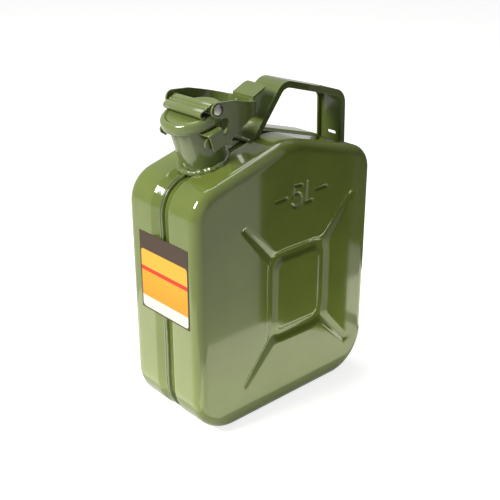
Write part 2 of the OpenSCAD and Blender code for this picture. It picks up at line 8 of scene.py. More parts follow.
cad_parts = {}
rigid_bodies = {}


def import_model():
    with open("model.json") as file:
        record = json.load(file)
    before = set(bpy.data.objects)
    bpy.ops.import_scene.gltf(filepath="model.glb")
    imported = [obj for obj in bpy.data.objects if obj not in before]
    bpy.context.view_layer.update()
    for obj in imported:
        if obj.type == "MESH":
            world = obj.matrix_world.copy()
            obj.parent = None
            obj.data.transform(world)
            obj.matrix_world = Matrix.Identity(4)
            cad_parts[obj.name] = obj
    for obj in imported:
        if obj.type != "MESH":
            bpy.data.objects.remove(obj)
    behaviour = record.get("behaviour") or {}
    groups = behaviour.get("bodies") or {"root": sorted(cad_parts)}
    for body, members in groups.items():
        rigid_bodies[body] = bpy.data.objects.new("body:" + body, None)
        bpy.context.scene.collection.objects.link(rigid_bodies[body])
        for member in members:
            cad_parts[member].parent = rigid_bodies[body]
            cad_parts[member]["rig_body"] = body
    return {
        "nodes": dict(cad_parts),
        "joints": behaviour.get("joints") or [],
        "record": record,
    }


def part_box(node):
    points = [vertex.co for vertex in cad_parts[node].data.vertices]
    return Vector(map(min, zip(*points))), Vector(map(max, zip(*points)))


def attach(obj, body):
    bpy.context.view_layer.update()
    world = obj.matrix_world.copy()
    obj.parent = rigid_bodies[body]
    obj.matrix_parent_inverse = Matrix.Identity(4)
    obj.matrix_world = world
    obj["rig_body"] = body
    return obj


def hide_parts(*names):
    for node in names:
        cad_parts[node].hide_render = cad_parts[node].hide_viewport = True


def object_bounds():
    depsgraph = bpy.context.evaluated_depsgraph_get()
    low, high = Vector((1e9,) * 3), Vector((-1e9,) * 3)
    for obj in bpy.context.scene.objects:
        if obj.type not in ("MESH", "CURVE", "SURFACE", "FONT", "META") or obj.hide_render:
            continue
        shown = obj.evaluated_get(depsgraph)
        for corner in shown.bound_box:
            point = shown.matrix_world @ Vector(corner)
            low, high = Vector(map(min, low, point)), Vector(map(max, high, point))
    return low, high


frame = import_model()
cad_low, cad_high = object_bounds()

# ---- Half shells ----
# Two pans deep-drawn from 1 mm steel sheet, each with a pressed cross on its wide
# face and a sunk rim, welded rim to rim and then sprayed with glossy olive enamel.

shell_low, shell_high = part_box("near_half_shell")
half_length = shell_high.x
half_width = -shell_low.y
# The sharp meeting points of the walls, and the radius that rounds each of them
EAVE_FRONT_Z = 0.251
EAVE_REAR_Z = 0.2515
RIDGE_X = 0.0025
RIDGE_Z = 0.284
CORNERS = [
    (-half_length, 0.0), (half_length, 0.0), (half_length, EAVE_REAR_Z),
    (RIDGE_X, RIDGE_Z), (-half_length, EAVE_FRONT_Z),
]
CORNER_RADII = [0.046, 0.046, 0.028, 0.060, 0.034]
SHEET = 0.001
CHANNEL_DEPTH = 0.004
CHANNEL_FLOOR = 0.0045
CHANNEL_SLOPE = 0.009
EDGE_RADIUS = 0.011
# Longest stretch between two points of the outline
OUTLINE_STEP = 0.003


def rounded_path(corners, radii, closed, arc_step):
    """Points along a path whose corners are rounded, with arc_step degrees between points."""
    points = []
    count = len(corners)
    for i, radius in enumerate(radii):
        here = Vector(corners[i])
        if not closed and i in (0, count - 1):
            points.append(here)
            continue
        back = (Vector(corners[i - 1]) - here).normalized()
        ahead = (Vector(corners[(i + 1) % count]) - here).normalized()
        turn = math.pi - back.angle(ahead)
        start = here + back * radius * math.tan(turn / 2)
        centre = here + (back + ahead).normalized() * radius / math.cos(turn / 2)
        way = 1 if back.x * ahead.y - back.y * ahead.x < 0 else -1
        steps = max(1, math.ceil(math.degrees(turn) / arc_step))
        for k in range(steps + 1):
            spoke = start - centre
            spoke.rotate(Matrix.Rotation(way * turn * k / steps, 2))
            points.append(centre + spoke)
    return points


def evened(points, longest, closed):
    """The same path with its long stretches divided."""
    result = []
    ends = points[1:] + points[:1] if closed else points[1:]
    for start, end in zip(points, ends):
        parts = max(1, math.ceil((end - start).length / longest))
        result += [start.lerp(end, k / parts) for k in range(parts)]
    return result if closed else result + [points[-1]]


def with_normals(points):
    """Pairs of a point and the outward direction there, for a counter-clockwise closed path."""
    result = []
    for i, here in enumerate(points):
        along = (points[(i + 1) % len(points)] - points[i - 1]).normalized()
        result.append((here, Vector((along.y, -along.x))))
    return result


body_outline = with_normals(
    evened(rounded_path(CORNERS, CORNER_RADII, True, 4), OUTLINE_STEP, True)
)


def first_ring(bm, outline, inset, depth):
    """A closed ring of edges round the body; each vertex keeps its number in the outline."""
    number = bm.verts.layers.int.new("number")
    ring = []
    for i, (place, out) in enumerate(outline):
        vert = bm.verts.new((place.x - out.x * inset, depth, place.y - out.y * inset))
        vert[number] = i
        ring.append(vert)
    return [bm.edges.new((ring[i - 1], ring[i])) for i in range(len(ring))]


def next_ring(bm, outline, edges, inset, depth):
    """Extrudes a ring of edges and sets it at another inset and depth."""
    number = bm.verts.layers.int["number"]
    grown = bmesh.ops.extrude_edge_only(bm, edges=edges)["geom"]
    fresh = {g for g in grown if isinstance(g, bmesh.types.BMVert)}
    for vert in fresh:
        place, out = outline[vert[number]]
        vert.co = (place.x - out.x * inset, depth, place.y - out.y * inset)
    return [g for g in grown if isinstance(g, bmesh.types.BMEdge) and set(g.verts) <= fresh]


def sliced(bm, faces, normal, stops):
    """Cuts faces along parallel planes; what lies past one cut goes on to the next."""
    done = []
    for stop in stops:
        parts = set(faces)
        parts.update(e for f in faces for e in f.edges)
        parts.update(v for f in faces for v in f.verts)
        cut = bmesh.ops.bisect_plane(
            bm, geom=list(parts), dist=1e-7, plane_co=normal * stop, plane_no=normal
        )["geom"]
        made = [g for g in cut if isinstance(g, bmesh.types.BMFace)]
        beyond = [f.calc_center_median().dot(normal) > stop for f in made]
        done += [f for f, b in zip(made, beyond) if not b]
        faces = [f for f, b in zip(made, beyond) if b]
    return done + faces


def smooth_rise(x):
    """0 below 0, 1 above 1, and a smooth rise between."""
    x = min(1.0, max(0.0, x))
    return x * x * (3 - 2 * x)


def line_distance(p, a, b):
    """Distance of p from the stretch a to b, and how far along it the nearest point is."""
    t = min(1.0, max(0.0, (p - a).dot(b - a) / (b - a).length_squared))
    return (p - a.lerp(b, t)).length, t


# The pressed cross: a groove round a panel that lies a little low, and a leg from each corner
CROSS = Vector((0.014, 0.125))
PANEL_HALF = Vector((0.028, 0.0355))
PANEL_RADIUS = 0.008
PANEL_DROP = 0.0010
GROOVE_WIDTH = 0.016
GROOVE_DEPTH = 0.0038
GROOVE_WALL = 0.0060
PANEL_WALL = 0.0050
LEG_START = Vector((0.034, 0.0415))
LEG_TIP = Vector((0.0720, 0.0835))
LEG_START_HALF = 0.0066
LEG_TIP_HALF = 0.0050
LEG_TIP_SHARE = 0.55
# How far the outer lips of groove and leg flow into each other
LIP_BLEND = 0.008


def wall_rise(x):
    """0 below 0, 1 above 1, and a nearly straight slope between."""
    return 0.6 * min(1.0, max(0.0, x)) + 0.4 * smooth_rise(x)


def groove_depth(x, z):
    """Depth of the pressed cross below the wide face."""
    p = Vector((abs(x - CROSS.x), abs(z - CROSS.y)))
    beyond = p - (PANEL_HALF - Vector((PANEL_RADIUS, PANEL_RADIUS)))
    if max(beyond.x, beyond.y) > 0:
        outside = Vector((max(0, beyond.x), max(0, beyond.y))).length - PANEL_RADIUS
    else:
        outside = max(beyond.x, beyond.y) - PANEL_RADIUS
    away, t = line_distance(p, LEG_START, LEG_TIP)
    to_ring = outside - GROOVE_WIDTH
    to_leg = away - (LEG_START_HALF + (LEG_TIP_HALF - LEG_START_HALF) * t)
    blend = max(0.0, LIP_BLEND - abs(to_ring - to_leg)) / LIP_BLEND
    lip = min(to_ring, to_leg) - blend * blend * LIP_BLEND / 4
    deepest = GROOVE_DEPTH * (1 - (1 - LEG_TIP_SHARE) * t)
    panel = (GROOVE_DEPTH - PANEL_DROP) * wall_rise(1 - outside / PANEL_WALL)
    return deepest * wall_rise(-lip / GROOVE_WALL) - panel


# Strokes of the sunk capacity mark, a 5 and an L between two dashes
MARK_STROKES = [
    [(-0.0190, 0.2262), (-0.0052, 0.2268)],
    [(0.0355, 0.2263), (0.0495, 0.2268)],
    [(0.0151, 0.2362), (0.0050, 0.2368), (0.0036, 0.2262), (0.0060, 0.2278), (0.0097, 0.2288),
     (0.0134, 0.2268), (0.0153, 0.2222), (0.0136, 0.2170), (0.0085, 0.2148), (0.0048, 0.2160),
     (0.0018, 0.2192)],
    [(0.0223, 0.2373), (0.0209, 0.2164), (0.0295, 0.2170)],
]
MARK_HALF = 0.0021
MARK_DEPTH = 0.0016
MARK_WALL = 0.0019
# Heights between which the whole mark lies
MARK_LOW_Z = 0.21
MARK_HIGH_Z = 0.2405


def mark_depth(x, z):
    """Depth of the capacity mark below the wide face."""
    p = Vector((x, z))
    nearest = min(
        line_distance(p, Vector(a), Vector(b))[0]
        for stroke in MARK_STROKES for a, b in zip(stroke, stroke[1:])
    )
    return MARK_DEPTH * wall_rise((MARK_HALF - nearest) / MARK_WALL)


# Grid lines on the wide face, each row as low, high and step: close together on the cross
ACROSS_LINES = [(-0.100, -0.068, 0.006), (-0.066, 0.088, 0.0012), (0.092, 0.104, 0.006)]
UPWARD_LINES = [(0.012, 0.036, 0.006), (0.038, 0.2155, 0.0012), (0.2165, 0.276, 0.006)]
# Still closer ones on the capacity mark
MARK_ACROSS_LINES = [(-0.0235, 0.0515, 0.0006)]
MARK_UPWARD_LINES = [(0.2105, 0.2405, 0.0006)]


def grid_stops(rows):
    """Places of the grid lines that rows of low, high and step describe."""
    stops = set()
    for low, high, step in rows:
        count = round((high - low) / step)
        stops.update(low + (high - low) * k / count for k in range(count + 1))
    return sorted(stops)


# The neck: its lean and its axis come from the mouth that the record states
mouth = next(m for m in frame["record"]["mounts"] if m["name"] == "mouth")
neck_way = Vector(mouth["axis"]).normalized()
MOUTH_UP = 0.0454
neck_frame = Matrix.Translation(Vector(mouth["pos_m"]) - neck_way * MOUTH_UP) @ (
    Matrix.Rotation(math.atan2(neck_way.x, neck_way.z), 4, "Y")
)
to_neck = neck_frame.inverted()
# The hole in the roof, and how near to it an edge point is drawn onto its rim
NECK_HOLE = 0.0215
RIM_REACH = 0.004
# The neck lies wholly above this height, and no further than this under its foot
NECK_ZONE_Z = 0.2
NECK_ZONE_DOWN = 0.03


def clear_of_neck(place, radius):
    """True if a place lies outside a round about the axis of the neck."""
    local = to_neck @ place
    return local.z < -NECK_ZONE_DOWN or local.xy.length > radius


def as_piece(bm, name, body, replaced, material, smooth=40):
    """Turns a bmesh into a piece that rides on a body and stands for a CAD node, which it hides."""
    mesh = bpy.data.meshes.new(name)
    bm.to_mesh(mesh)
    bm.free()
    piece = bpy.data.objects.new(name, mesh)
    bpy.context.scene.collection.objects.link(piece)
    mesh.materials.append(material)
    mesh.shade_smooth()
    mesh.set_sharp_from_angle(angle=math.radians(smooth))
    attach(piece, body)
    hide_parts(replaced)
    return piece


def thicken(piece, thickness, offset):
    """Gives a piece made as a surface the thickness of its sheet."""
    sheet = piece.modifiers.new("sheet", "SOLIDIFY")
    sheet.thickness = thickness
    sheet.offset = offset


def round_edges(piece, width, segments, sharp):
    """Rounds the edges of a piece that are sharper than an angle in degrees."""
    edge = piece.modifiers.new("rounding", "BEVEL")
    edge.width = width
    edge.segments = segments
    edge.limit_method = "ANGLE"
    edge.angle_limit = math.radians(sharp)


def pan_half(side):
    """Mesh of one half: the sunk rim, the wall, the rounded edge and the pressed wide face."""
    bm = bmesh.new()
    profile = rounded_path(
        [(CHANNEL_DEPTH, 0), (CHANNEL_DEPTH, CHANNEL_FLOOR), (0, CHANNEL_FLOOR + CHANNEL_SLOPE),
         (0, half_width), (EDGE_RADIUS + 0.001, half_width)],
        [0, 0.0015, 0.003, EDGE_RADIUS, 0], False, 9,
    )
    profile = evened(profile, 0.0035, False)
    edges = first_ring(bm, body_outline, profile[0].x, side * profile[0].y)
    for inset, depth in profile[1:]:
        edges = next_ring(bm, body_outline, edges, inset, side * depth)
    face = bmesh.ops.contextual_create(bm, geom=edges)["faces"][0]
    marked = side < 0
    across = ACROSS_LINES + (MARK_ACROSS_LINES if marked else [])
    upward = UPWARD_LINES + (MARK_UPWARD_LINES if marked else [])
    faces = sliced(bm, [face], Vector((1, 0, 0)), grid_stops(across))
    faces = sliced(bm, faces, Vector((0, 0, 1)), grid_stops(upward))
    for vert in {v for f in faces for v in f.verts if not v.is_boundary}:
        x, z = vert.co.x, vert.co.z
        sunk = groove_depth(x, z)
        if marked and MARK_LOW_Z < z < MARK_HIGH_Z:
            sunk += mark_depth(x, z)
        vert.co.y = side * (half_width - sunk)
    under_neck = [
        f for f in bm.faces
        if f.calc_center_median().z > NECK_ZONE_Z
        and not clear_of_neck(f.calc_center_median(), NECK_HOLE)
    ]
    bmesh.ops.delete(bm, geom=under_neck, context="FACES")
    for vert in bm.verts:
        local = to_neck @ vert.co
        near_rim = vert.co.z > NECK_ZONE_Z and local.xy.length < NECK_HOLE + RIM_REACH
        if vert.is_boundary and near_rim and abs(vert.co.y) > 1e-6:
            away = local.xy.normalized() * NECK_HOLE
            vert.co = neck_frame @ Vector((away.x, away.y, local.z))
    bmesh.ops.recalc_face_normals(bm, faces=bm.faces)
    if sum(f.normal.y * f.calc_area() for f in bm.faces) * side < 0:
        bmesh.ops.reverse_faces(bm, faces=bm.faces)
    return bm


def shader_node(tree, kind, **inputs):
    """Adds a shader node and sets its inputs by name."""
    node = tree.nodes.new(kind)
    for name, value in inputs.items():
        node.inputs[name.replace("_", " ")].default_value = value
    return node


def maths(tree, operation, *terms, kind="ShaderNodeMath", output=0):
    """Adds a maths node and gives its output. Each term is a value or a socket to link."""
    node = tree.nodes.new(kind)
    node.operation = operation
    for socket, term in zip(node.inputs, terms):
        if isinstance(term, bpy.types.NodeSocket):
            tree.links.new(term, socket)
        else:
            socket.default_value = term
    return node.outputs[output]


def new_material(name):
    """A material with nodes, its node tree and its Principled shader."""
    material = bpy.data.materials.new(name)
    material.use_nodes = True
    return material, material.node_tree, material.node_tree.nodes["Principled BSDF"]


def new_group(name, inputs, outputs):
    """A node group with named sockets, its entry node and its result node."""
    group = bpy.data.node_groups.new(name, "ShaderNodeTree")
    for way, sockets in (("INPUT", inputs), ("OUTPUT", outputs)):
        for socket, kind in sockets.items():
            group.interface.new_socket(socket, in_out=way, socket_type="NodeSocket" + kind)
    return group, group.nodes.new("NodeGroupInput"), group.nodes.new("NodeGroupOutput")


def placed_group(tree, group, **values):
    """Puts a node group in a material and sets its inputs by name."""
    node = tree.nodes.new("ShaderNodeGroup")
    node.node_tree = group
    for name, value in values.items():
        node.inputs[name].default_value = value
    return node


def surfaced(name, group, **values):
    """A material whose colour, roughness and normal come from a node group, and its shader."""
    material, tree, shader = new_material(name)
    surface = placed_group(tree, group, **values)
    tree.links.new(surface.outputs["Color"], shader.inputs["Base Color"])
    tree.links.new(surface.outputs["Roughness"], shader.inputs["Roughness"])
    tree.links.new(surface.outputs["Normal"], shader.inputs["Normal"])
    return material, shader


def srgb(red, green, blue):
    """A colour written in 0 to 255 steps, as the linear value that a shader takes."""
    def linear(c):
        c = c / 255
        return c / 12.92 if c <= 0.04045 else ((c + 0.055) / 1.055) ** 2.4
    return (linear(red), linear(green), linear(blue), 1.0)


SURFACE_OUTPUTS = {"Color": "Color", "Roughness": "Float", "Normal": "Vector"}
# Full height of the relief that the bump nodes draw
RELIEF_HEIGHT = 0.0001


def make_paint_group():
    """Sprayed enamel: faint clouds in the colour, orange peel and dust nibs in the surface."""
    inputs = {"Paint": "Color", "Cloudiness": "Float", "Peel": "Float", "Gloss": "Float"}
    group, entry, result = new_group("sprayed_enamel", inputs, SURFACE_OUTPUTS)
    link = group.links.new
    place = group.nodes.new("ShaderNodeTexCoord")
    cloud = shader_node(group, "ShaderNodeTexNoise", Scale=22.0, Detail=3.0)
    haze = shader_node(group, "ShaderNodeTexNoise", Scale=60.0, Detail=2.0)
    peel = shader_node(group, "ShaderNodeTexNoise", Scale=420.0, Detail=2.0)
    nibs = shader_node(group, "ShaderNodeTexVoronoi", Scale=260.0)
    for texture in (cloud, haze, peel, nibs):
        link(place.outputs["Object"], texture.inputs["Vector"])
    shade = shader_node(group, "ShaderNodeMapRange", From_Min=0.3, From_Max=0.7)
    link(cloud.outputs["Fac"], shade.inputs["Value"])
    link(maths(group, "SUBTRACT", 1.0, entry.outputs["Cloudiness"]), shade.inputs["To Min"])
    link(maths(group, "ADD", 1.0, entry.outputs["Cloudiness"]), shade.inputs["To Max"])
    tint = group.nodes.new("ShaderNodeVectorMath")
    tint.operation = "SCALE"
    link(entry.outputs["Paint"], tint.inputs[0])
    link(shade.outputs["Result"], tint.inputs["Scale"])
    link(tint.outputs[0], result.inputs["Color"])
    uneven = maths(group, "MULTIPLY_ADD", haze.outputs["Fac"], 0.07, entry.outputs["Gloss"])
    link(uneven, result.inputs["Roughness"])
    dust = shader_node(
        group, "ShaderNodeMapRange", From_Min=0.0, From_Max=0.10, To_Min=1.0, To_Max=0.0
    )
    link(nibs.outputs["Distance"], dust.inputs["Value"])
    relief = maths(group, "MULTIPLY_ADD", dust.outputs["Result"], 0.35, peel.outputs["Fac"])
    bump = shader_node(group, "ShaderNodeBump", Distance=RELIEF_HEIGHT)
    link(entry.outputs["Peel"], bump.inputs["Strength"])
    link(relief, bump.inputs["Height"])
    link(bump.outputs["Normal"], result.inputs["Normal"])
    return group


def make_grain_group():
    """Fine grain: one noise that mixes two colours and drives the roughness and the relief."""
    inputs = {
        "First": "Color", "Second": "Color", "Scale": "Float", "Detail": "Float",
        "Smoothest": "Float", "Roughest": "Float", "Relief": "Float",
    }
    group, entry, result = new_group("fine_grain", inputs, SURFACE_OUTPUTS)
    link = group.links.new
    place = group.nodes.new("ShaderNodeTexCoord")
    grain = group.nodes.new("ShaderNodeTexNoise")
    link(place.outputs["Object"], grain.inputs["Vector"])
    link(entry.outputs["Scale"], grain.inputs["Scale"])
    link(entry.outputs["Detail"], grain.inputs["Detail"])
    mix = group.nodes.new("ShaderNodeMix")
    mix.data_type = "RGBA"
    link(grain.outputs["Fac"], mix.inputs["Factor"])
    link(entry.outputs["First"], mix.inputs["A"])
    link(entry.outputs["Second"], mix.inputs["B"])
    link(mix.outputs["Result"], result.inputs["Color"])
    rough = group.nodes.new("ShaderNodeMapRange")
    link(grain.outputs["Fac"], rough.inputs["Value"])
    link(entry.outputs["Smoothest"], rough.inputs["To Min"])
    link(entry.outputs["Roughest"], rough.inputs["To Max"])
    link(rough.outputs["Result"], result.inputs["Roughness"])
    bump = shader_node(group, "ShaderNodeBump", Distance=RELIEF_HEIGHT)
    link(entry.outputs["Relief"], bump.inputs["Strength"])
    link(grain.outputs["Fac"], bump.inputs["Height"])
    link(bump.outputs["Normal"], result.inputs["Normal"])
    return group


paint_group = make_paint_group()
grain_group = make_grain_group()


def enamel(name, paint, cloudiness=0.07, peel=0.22, gloss=0.07):
    """A glossy sprayed enamel of one colour."""
    material, shader = surfaced(
        name, paint_group, Paint=paint, Cloudiness=cloudiness, Peel=peel, Gloss=gloss
    )
    shader.inputs["Coat Weight"].default_value = 0.35
    shader.inputs["Coat Roughness"].default_value = 0.06
    return material


def scaled_colour(colour, factor):
    """A colour made lighter or darker."""
    return [c * factor for c in colour[:3]] + [1.0]


def plated(name, colour, roughness=0.28):
    """Zinc or bright steel, with a cloudy plating."""
    material, shader = surfaced(
        name, grain_group, First=colour, Second=scaled_colour(colour, 0.6), Scale=240.0, Detail=4.0,
        Smoothest=roughness * 0.7, Roughest=roughness * 1.5, Relief=0.15,
    )
    shader.inputs["Metallic"].default_value = 1.0
    return material


body_paint = enamel("olive_body_enamel", srgb(108, 123, 54))
for name, side in (("near_half_shell", -1), ("far_half_shell", 1)):
    shell = as_piece(pan_half(side), name + "_skin", "can", name, body_paint, 60)
    thicken(shell, SHEET, -1.0)

# ---- Seam weld ----
# The rims of the two pans are welded edge to edge: a raised bead runs round the can
# in the channel, a little wavy, with the two edges still to be seen, and painted over.

BEAD_HALF = 0.0026
BEAD_HEIGHT = 0.0030
# How much the bead spreads at its foot
BEAD_FOOT = 0.0006
CRACK_HALF = 0.0004
CRACK_DEPTH = 0.0016
# Wander of the bead to the sides, the pitches of its waves, and the share of it up and down
BEAD_WAVE = 0.0005
WAVE_PITCHES = (90, 300)
WAVE_RISE = 0.3
BODY_MIDDLE = Vector((0, 0, 0.14))
# The bead ends this far from the axis of the neck
BEAD_END = 0.0245


def seam_bead():
    """Mesh of the bead, a ring of its cross section carried round the outline of the body."""
    bm = bmesh.new()
    section = rounded_path(
        [(-BEAD_HALF - BEAD_FOOT, 0), (-BEAD_HALF, BEAD_HEIGHT), (-CRACK_HALF, BEAD_HEIGHT),
         (0, BEAD_HEIGHT - CRACK_DEPTH), (CRACK_HALF, BEAD_HEIGHT),
         (BEAD_HALF, BEAD_HEIGHT), (BEAD_HALF + BEAD_FOOT, 0)],
        [0, 0.0010, 0.0007, 0.0001, 0.0007, 0.0010, 0], False, 22,
    )
    edges = first_ring(bm, body_outline, CHANNEL_DEPTH - section[0].y, section[0].x)
    first = edges
    for depth, rise in section[1:]:
        edges = next_ring(bm, body_outline, edges, CHANNEL_DEPTH - rise, depth)
    bmesh.ops.bridge_loops(bm, edges=first + edges)
    for vert in bm.verts:
        along = Vector((vert.co.x, 0, vert.co.z))
        wave = sum(noise.noise(along * pitch) * BEAD_WAVE for pitch in WAVE_PITCHES)
        vert.co.y += wave
        vert.co += (along - BODY_MIDDLE).normalized() * WAVE_RISE * wave
    hidden = [
        v for v in bm.verts if v.co.z > NECK_ZONE_Z and not clear_of_neck(v.co, BEAD_END)
    ]
    bmesh.ops.delete(bm, geom=hidden, context="VERTS")
    bmesh.ops.holes_fill(bm, edges=[e for e in bm.edges if e.is_boundary])
    bmesh.ops.recalc_face_normals(bm, faces=bm.faces)
    return bm


seam_paint = enamel("olive_seam_enamel", srgb(96, 110, 58), cloudiness=0.12, peel=0.6, gloss=0.10)
as_piece(seam_bead(), "seam_weld_bead", "can", "seam_weld", seam_paint)

# ---- Neck ----
# A rolled steel tube with a swaged collar, welded into the front slope of the roof with
# an uneven bead, and a rim rolled outwards at the mouth. A zinc-plated breather pipe
# runs down from the mouth on the handle side.

NECK_BORE = mouth["dims"]["r_mm"] / 1000
NECK_FOOT = 0.022
NECK_TOP = 0.0235
# Length of the neck inside the can
NECK_DOWN = 0.012
COLLAR_UP = MOUTH_UP - 0.004
RIM_RADIUS = 0.0254


def turned(profile, steps, frame_of_piece, closed=True):
    """Spins a profile of (radius, height) points round the axis of a frame."""
    bm = bmesh.new()
    verts = [bm.verts.new((max(radius, 0.0), 0, height)) for radius, height in profile]
    edges = [bm.edges.new(pair) for pair in zip(verts, verts[1:])]
    if closed:
        edges.append(bm.edges.new((verts[-1], verts[0])))
    bmesh.ops.spin(
        bm, geom=verts + edges, axis=(0, 0, 1), cent=(0, 0, 0), angle=2 * math.pi,
        steps=steps, use_merge=True,
    )
    bmesh.ops.remove_doubles(bm, verts=bm.verts, dist=1e-6)
    bmesh.ops.recalc_face_normals(bm, faces=bm.faces)
    bmesh.ops.transform(bm, matrix=frame_of_piece, verts=bm.verts)
    return bm


neck_paint = enamel("olive_neck_enamel", srgb(100, 114, 62), cloudiness=0.10, peel=0.35)
neck_profile = rounded_path(
    [(NECK_BORE + 0.0003, -NECK_DOWN), (NECK_FOOT, -NECK_DOWN), (NECK_FOOT, -0.001),
     (NECK_FOOT + 0.0004, 0.006), (NECK_TOP, 0.0355), (NECK_TOP, COLLAR_UP),
     (NECK_BORE, COLLAR_UP), (NECK_BORE, 0.024), (NECK_BORE + 0.0003, 0.020)],
    [0.0001, 0.0001, 0.004, 0.01, 0.004, 0.0001, 0.0001, 0.0001, 0.0001], True, 8,
)
neck_tube = turned(neck_profile, 96, neck_frame)
as_piece(neck_tube, "neck_tube", "can", "neck", neck_paint)

rim_profile = rounded_path(
    [(NECK_BORE, COLLAR_UP), (RIM_RADIUS - 0.0024, COLLAR_UP), (RIM_RADIUS, COLLAR_UP + 0.0012),
     (RIM_RADIUS, MOUTH_UP), (NECK_BORE, MOUTH_UP)],
    [0.0003, 0.0006, 0.001, 0.0012, 0.0007], True, 15,
)
rolled_rim = turned(rim_profile, 96, neck_frame)
as_piece(rolled_rim, "rolled_rim", "can", "mouth_rim", neck_paint)

# The bead round the foot of the neck: its radius, its half thickness and its lift off the roof
NECK_WELD_RADIUS = 0.0232
NECK_WELD_HALF = 0.0029
NECK_WELD_UP = 0.0004
# Its lumps, as share of the thickness and pitch, and its ripples, as share and count
LUMPS = 0.42
LUMP_PITCH = 190
RIPPLES = 0.05
RIPPLE_COUNT = 34


def lumpy_bead(major, minor, place):
    """A ring of weld metal with the ripples and lumps that the welder left."""
    bm = bmesh.new()
    start = bmesh.ops.create_circle(bm, segments=18, radius=minor)["verts"]
    upright = Matrix.Rotation(math.pi / 2, 3, "X")
    bmesh.ops.rotate(bm, verts=start, cent=(0, 0, 0), matrix=upright)
    bmesh.ops.translate(bm, verts=start, vec=(major, 0, 0))
    bmesh.ops.spin(
        bm, geom=bm.verts[:] + bm.edges[:], axis=(0, 0, 1), cent=(0, 0, 0), angle=2 * math.pi,
        steps=240, use_merge=True,
    )
    bmesh.ops.remove_doubles(bm, verts=bm.verts, dist=1e-6)
    bmesh.ops.recalc_face_normals(bm, faces=bm.faces)
    for vert in bm.verts:
        spoke = Vector((vert.co.x, vert.co.y, 0)).normalized() * major
        large = noise.noise(vert.co * LUMP_PITCH)
        small = noise.noise(vert.co * LUMP_PITCH * 2.6)
        swell = 1 + LUMPS * (large + 0.5 * small)
        swell += RIPPLES * math.sin(math.atan2(vert.co.y, vert.co.x) * RIPPLE_COUNT)
        vert.co = spoke + (vert.co - spoke) * swell
    bmesh.ops.transform(bm, matrix=place, verts=bm.verts)
    return bm


front_slope = (RIDGE_Z - EAVE_FRONT_Z) / (RIDGE_X + half_length)
foot_x = neck_frame.translation.x
bead_place = (
    Matrix.Translation((foot_x, 0, RIDGE_Z - (RIDGE_X - foot_x) * front_slope))
    @ Matrix.Rotation(-math.atan(front_slope), 4, "Y")
    @ Matrix.Translation((0, 0, NECK_WELD_UP))
)
weld_paint = enamel(
    "olive_weld_enamel", srgb(106, 119, 66), cloudiness=0.16, peel=0.9, gloss=0.05
)
neck_bead = lumpy_bead(NECK_WELD_RADIUS, NECK_WELD_HALF, bead_place)
as_piece(neck_bead, "neck_weld_bead", "can", "neck_weld", weld_paint, 80)

zinc = plated("zinc_plate", srgb(176, 176, 170))

# In degrees: a sharper edge than the first is rounded, and facets that meet over a flatter
# one than the second are joined
SHARP_EDGE = 40
FLAT_EDGE = 3


def dressed(node, material, rounding=0.0005, segments=2):
    """A copy of a CAD node with its triangles joined and its edges rounded."""
    solid = frame["nodes"][node]
    bm = bmesh.new()
    bm.from_mesh(solid.data)
    bmesh.ops.remove_doubles(bm, verts=bm.verts, dist=2e-6)
    flat = math.radians(FLAT_EDGE)
    bmesh.ops.dissolve_limit(bm, angle_limit=flat, verts=bm.verts, edges=bm.edges)
    piece = as_piece(bm, node + "_finished", solid["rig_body"], node, material, SHARP_EDGE)
    if rounding:
        round_edges(piece, rounding, segments, SHARP_EDGE)


dressed("breather_tube", zinc, 0.0002)

# ---- Ears and lid hinge ----
# Two bent steel ears welded to the neck, which the tongues of the lever hook under, and
# a lug bracket behind the neck with the pin that the lid's arm turns on. All painted.

fitting_paint = enamel(
    "olive_fitting_enamel", srgb(98, 112, 58), cloudiness=0.10, peel=0.30, gloss=0.15
)
for node in ("near_ear", "far_ear", "hinge_bracket", "cap_hinge_arm"):
    dressed(node, fitting_paint)
dressed("ear_welds", weld_paint, 0.0)
bright = plated("bright_steel_pin", srgb(170, 168, 162), 0.22)
dressed("cap_hinge_pin", bright, 0.0003)

# ---- Lid ----
# A drawn steel cap with a rolled outer edge and a dished top, over a black rubber
# gasket that a zinc-plated disc and a stud clamp in place.

lid_paint = enamel("olive_lid_enamel", srgb(108, 122, 66), cloudiness=0.08, peel=0.30, gloss=0.13)
LID_RADIUS = 0.0295
LID_SHEET = 0.0012
LID_DEPTH = 0.0101
# Radius of the shoulder, and how far the dished middle lies below the top
SHOULDER = 0.0045
DISH_DROP = 0.0014
GASKET_UP = MOUTH_UP + 0.0001
GASKET_TOP = GASKET_UP + 0.0024
DISH_TOP = GASKET_TOP + LID_SHEET
LID_TOP = DISH_TOP + DISH_DROP
LID_LOW = LID_TOP - LID_DEPTH
STUD = 0.0029
inner_top = LID_TOP - LID_SHEET
inner_wall = LID_RADIUS - LID_SHEET
dish = LID_RADIUS - SHOULDER - 0.002
# From the stud outwards along the underside, round the rolled edge and back over the top
lid_profile = rounded_path(
    [(STUD, GASKET_TOP), (dish, GASKET_TOP), (LID_RADIUS - SHOULDER, inner_top),
     (inner_wall, inner_top), (inner_wall, LID_LOW + 0.0012),
     (LID_RADIUS - 0.0020, LID_LOW + 0.0007), (LID_RADIUS - 0.0020, LID_LOW - 0.0002),
     (LID_RADIUS - 0.0005, LID_LOW - 0.0002), (LID_RADIUS - 0.0005, LID_LOW + 0.0012),
     (LID_RADIUS, LID_LOW + 0.0018), (LID_RADIUS, LID_TOP),
     (LID_RADIUS - SHOULDER - 0.0003, LID_TOP), (dish - 0.0004, DISH_TOP), (STUD, DISH_TOP)],
    [0.0001, 0.0008, 0.0006, SHOULDER - LID_SHEET, 0.0003, 0.0002, 0.0004, 0.0006, 0.0004, 0.0004,
     SHOULDER, 0.0010, 0.0008, 0.0001], True, 9,
)
drawn_lid = turned(lid_profile, 128, neck_frame)
as_piece(drawn_lid, "drawn_lid", "lid", "cap_shell", lid_paint)

